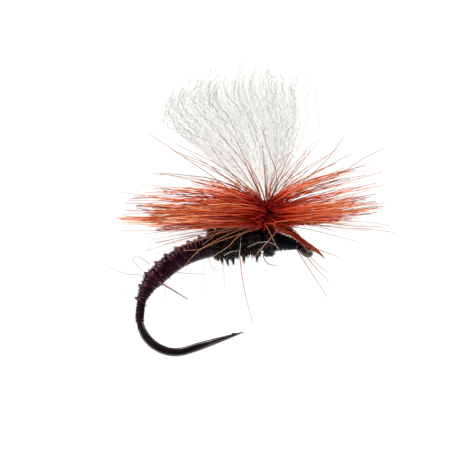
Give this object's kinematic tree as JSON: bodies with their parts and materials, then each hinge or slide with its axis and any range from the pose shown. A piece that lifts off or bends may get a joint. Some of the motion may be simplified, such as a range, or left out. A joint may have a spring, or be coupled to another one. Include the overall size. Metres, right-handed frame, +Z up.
{
  "type": "dry fly",
  "caption": "Parachute emerger dry fly: curved hook, thread body, herl thorax, upright yarn wing and flat-wound hackle round its post.",
  "frame": {"origin": "centre of the hook's eye", "axes": "+X out of the eye, away from the bend; +Z up along the yarn post; the hook's wire lies in the XZ plane"},
  "size_m": [0.0195, 0.0192, 0.0195],
  "materials": {
    "bronze": "bronzed and lacquered, glossy",
    "claret_thread": "waxed thread",
    "black_thread": "waxed thread",
    "red_thread": "shiny floss",
    "herl": "feather herl with a short pile",
    "white_yarn": "crimped synthetic yarn",
    "quill": "feather stem",
    "rust_hackle": "glossy feather barbs"
  },
  "bodies": {
    "root": {"hook": "bronze", "thread_base": "claret_thread", "abdomen_wrap": "black_thread", "rib_thread": "red_thread", "rib_tag": "red_thread", "post_yarn": "white_yarn", "butt_lashing": "claret_thread", "thread_dam": "black_thread", "herl_strand_1": "herl", "herl_strand_2": "herl", "herl_strand_3": "herl", "herl_front_turn": "herl", "head_wraps": "black_thread", "whip_finish": "black_thread", "post_wraps": "claret_thread", "hackle_tie_off": "black_thread", "hackle_quill": "quill", "hackle_tip": "quill", "hackle_barbs_1": "rust_hackle", "hackle_barbs_2": "rust_hackle", "hackle_barbs_3": "rust_hackle", "hackle_barbs_4": "rust_hackle", "hackle_barbs_5": "rust_hackle"}
  },
  "joints": []
}
